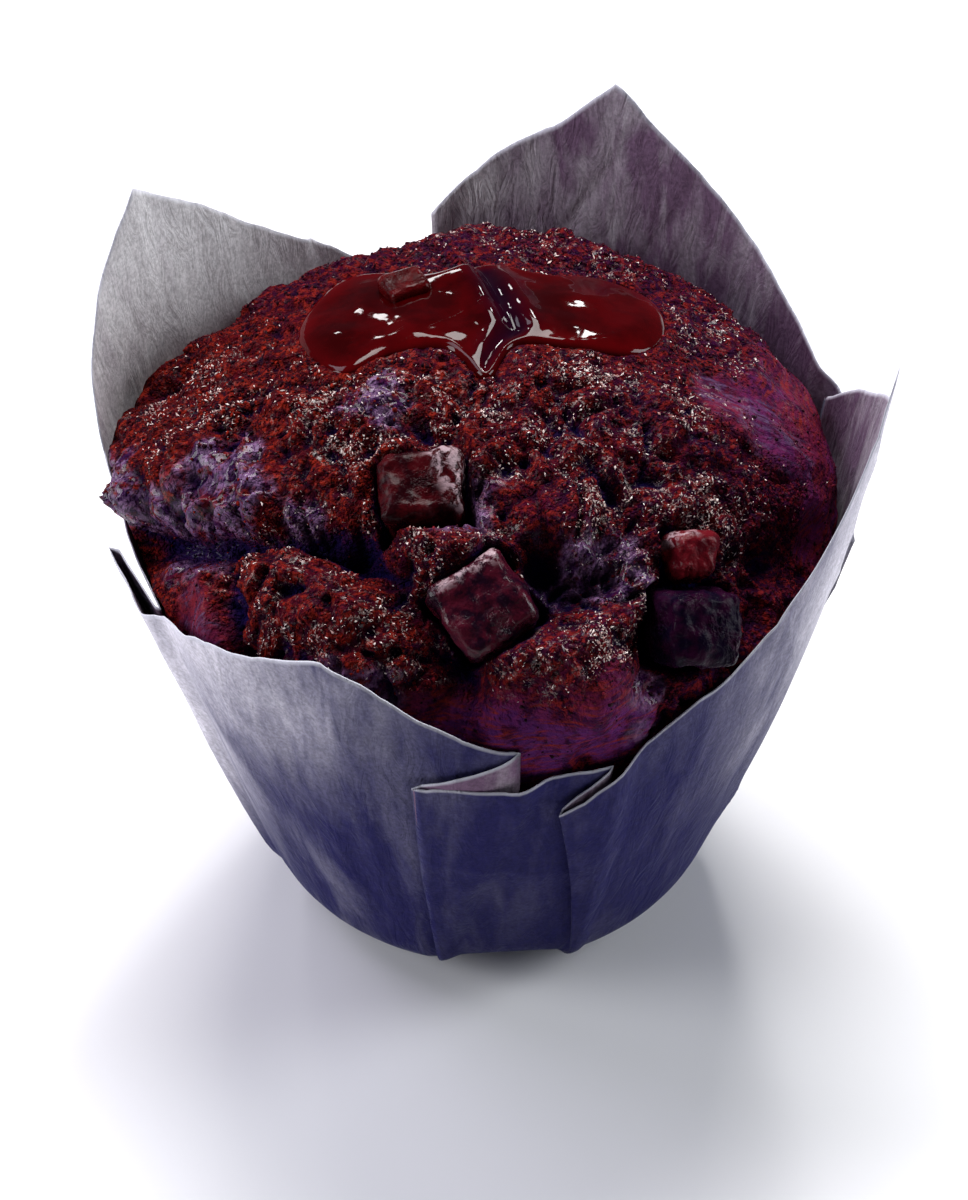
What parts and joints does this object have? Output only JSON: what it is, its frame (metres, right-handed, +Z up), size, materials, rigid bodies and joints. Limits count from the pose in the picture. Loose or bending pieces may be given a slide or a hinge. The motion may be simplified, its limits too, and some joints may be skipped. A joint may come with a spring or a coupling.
{
  "type": "chocolate muffin in a paper case",
  "caption": "Dark chocolate muffin with a craggy dome, a glossy sauce pool and melted chunks, baked in a folded dark paper case with raised pointed petals.",
  "frame": {"origin": "centre of the flat base of the paper case, on the floor", "axes": "+Z up, the two overlapping front pleats of the case face -Y"},
  "size_m": [0.0825, 0.0799, 0.0775],
  "materials": {
    "crumb": "rough, grainy dark red-brown baked crust",
    "paper": "matte dark grey-violet baking paper, mottled and wrinkled",
    "sauce": "glossy dark red chocolate sauce",
    "chunk": "satin half-melted dark chocolate"
  },
  "bodies": {
    "root": {"muffin_crumb": "crumb", "paper_case": "paper", "sauce_pool": "sauce", "chunk_upper": "chunk", "chunk_middle": "chunk", "chunk_right": "chunk", "chunk_small": "chunk", "chunk_in_sauce": "chunk"}
  },
  "joints": []
}
